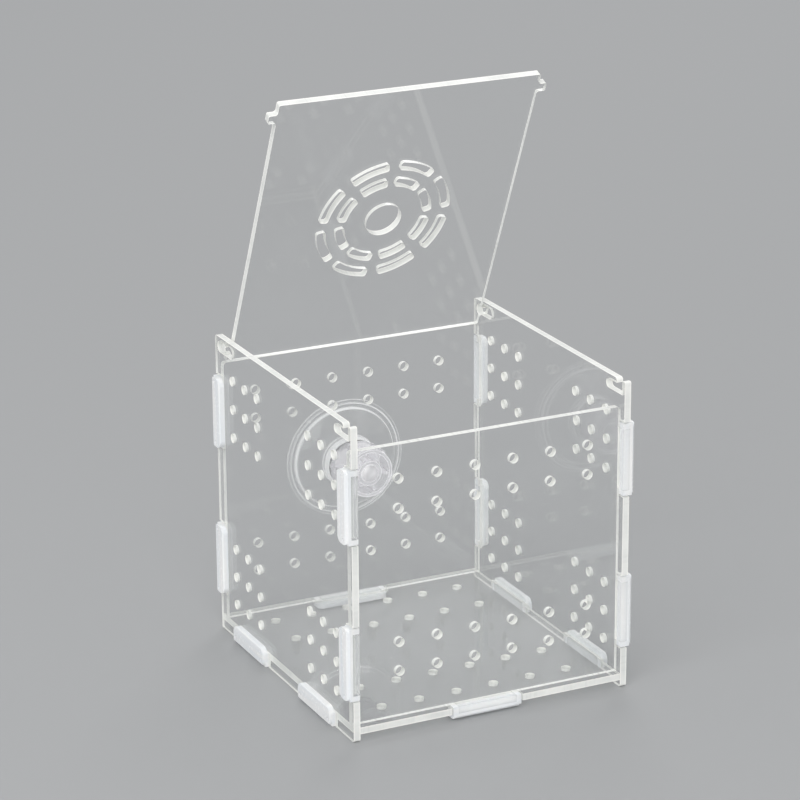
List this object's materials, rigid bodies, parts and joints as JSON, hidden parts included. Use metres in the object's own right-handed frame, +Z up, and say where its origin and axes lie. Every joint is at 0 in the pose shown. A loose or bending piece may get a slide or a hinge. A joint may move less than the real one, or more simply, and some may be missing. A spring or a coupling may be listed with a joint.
{
  "type": "fish breeding box",
  "caption": "Clear hang-on fish breeding and isolation box of clipped sheet panels with vent holes, a hinged vented lid and a suction cup with a thumb knob.",
  "frame": {"origin": "on the floor plane, at the centre of the bounding box in X and Y: midway between the side panels, and midway from their front edges to the suction cup's rim", "axes": "+Z up; +Y from the box's open front side towards the tank glass that the suction cup holds to; +X to the right as seen from the front"},
  "size_m": [0.109, 0.118, 0.207],
  "materials": {
    "clear_sheet": "clear polished sheet with bright cut edges",
    "milky_clip": "milky translucent moulded plastic",
    "soft_cup": "clear soft vinyl",
    "clear_moulding": "clear moulded plastic"
  },
  "bodies": {
    "box": {"left_panel": "clear_sheet", "right_panel": "clear_sheet", "front_panel": "clear_sheet", "back_panel": "clear_sheet", "floor_panel": "clear_sheet", "clip_left_front_lower": "milky_clip", "clip_left_front_upper": "milky_clip", "clip_left_back_lower": "milky_clip", "clip_left_back_upper": "milky_clip", "clip_right_front_lower": "milky_clip", "clip_right_front_upper": "milky_clip", "clip_right_back_lower": "milky_clip", "clip_right_back_upper": "milky_clip", "clip_floor_left_front": "milky_clip", "clip_floor_left_back": "milky_clip", "clip_floor_right_front": "milky_clip", "clip_floor_right_back": "milky_clip", "clip_floor_front": "milky_clip", "clip_floor_back": "milky_clip", "suction_cup": "soft_cup", "cup_stud": "clear_moulding"},
    "lid": {"lid": "clear_sheet"},
    "knob": {"cup_knob": "clear_moulding"}
  },
  "joints": [
    {"name": "lid_hinge", "type": "hinge", "parent": "box", "child": "lid", "pos_m": [0, 0.0466, 0.1086], "axis": [-1, 0, 0], "range_deg": [-65.4, 155]},
    {"name": "knob_turn", "type": "hinge", "parent": "box", "child": "knob", "pos_m": [0, 0.0433, 0.056], "axis": [0, 1, 0], "continuous": true}
  ]
}
